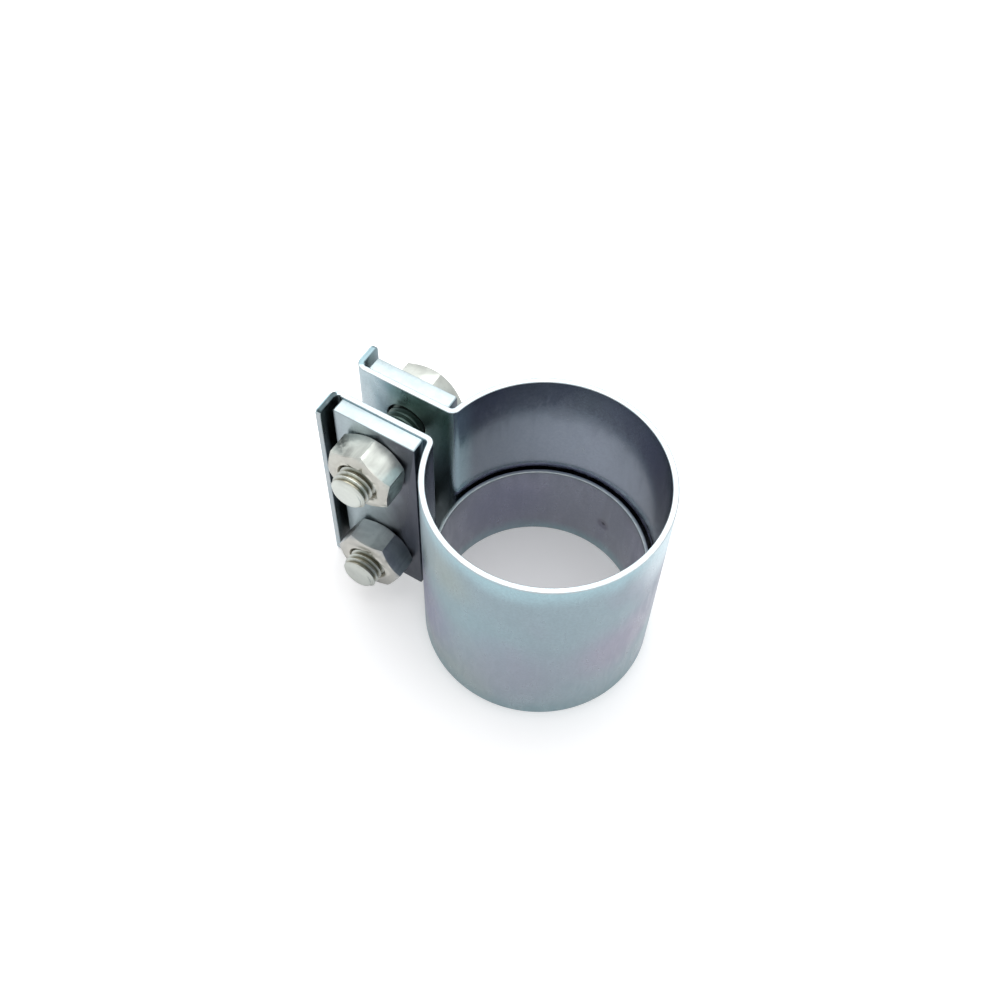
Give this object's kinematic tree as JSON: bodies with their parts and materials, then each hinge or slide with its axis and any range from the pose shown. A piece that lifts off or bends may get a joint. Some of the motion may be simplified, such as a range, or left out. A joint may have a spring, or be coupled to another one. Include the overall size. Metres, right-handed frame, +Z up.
{
  "type": "exhaust clamp",
  "caption": "Wide bolted band clamp for exhaust pipes, with folded ears, clamping plates and a welded inner sleeve that steps the bore down at its lower end.",
  "frame": {"origin": "centre of the lower pipe opening, on the bore's axis and on the plane that the clamp stands on", "axes": "+Z up the bore; the ears point to -X; the nuts are on the -Y side and the bolt heads on the +Y side"},
  "size_m": [0.087, 0.06, 0.0625],
  "materials": {
    "band_steel": "bright zinc plated sheet, satin, faintly iridescent",
    "sleeve_steel": "zinc plated thin sheet, satin",
    "weld_steel": "dull spot weld",
    "plate_steel": "zinc plated flat bar, satin",
    "fastener_steel": "bright steel, satin, slightly warm"
  },
  "bodies": {
    "clamp_body": {"clamp_band": "band_steel", "inner_sleeve": "sleeve_steel", "sleeve_spot_weld": "weld_steel", "head_side_plate": "plate_steel", "upper_bolt": "fastener_steel", "lower_bolt": "fastener_steel"},
    "nut_side_plate": {"nut_side_plate": "plate_steel"},
    "upper_nut": {"upper_nut": "fastener_steel"},
    "lower_nut": {"lower_nut": "fastener_steel"}
  },
  "joints": [
    {"name": "clamp_close", "type": "slide", "parent": "clamp_body", "child": "nut_side_plate", "axis": [0, 1, 0], "range_m": [-0.003, 0.0048], "deforming": ["clamp_band"]},
    {"name": "upper_nut_turn", "type": "hinge", "parent": "nut_side_plate", "child": "upper_nut", "pos_m": [-0.04231, -0.0135, 0.05025], "axis": [0, 1, 0], "range_deg": [-720, 1152]},
    {"name": "lower_nut_turn", "type": "hinge", "parent": "nut_side_plate", "child": "lower_nut", "pos_m": [-0.04231, -0.0135, 0.01225], "axis": [0, 1, 0], "range_deg": [-720, 1152]}
  ],
  "couplings": [
    {"joint": "upper_nut_turn", "follows": "clamp_close", "rad_per_m": 4188.8},
    {"joint": "lower_nut_turn", "follows": "clamp_close", "rad_per_m": 4188.8}
  ]
}
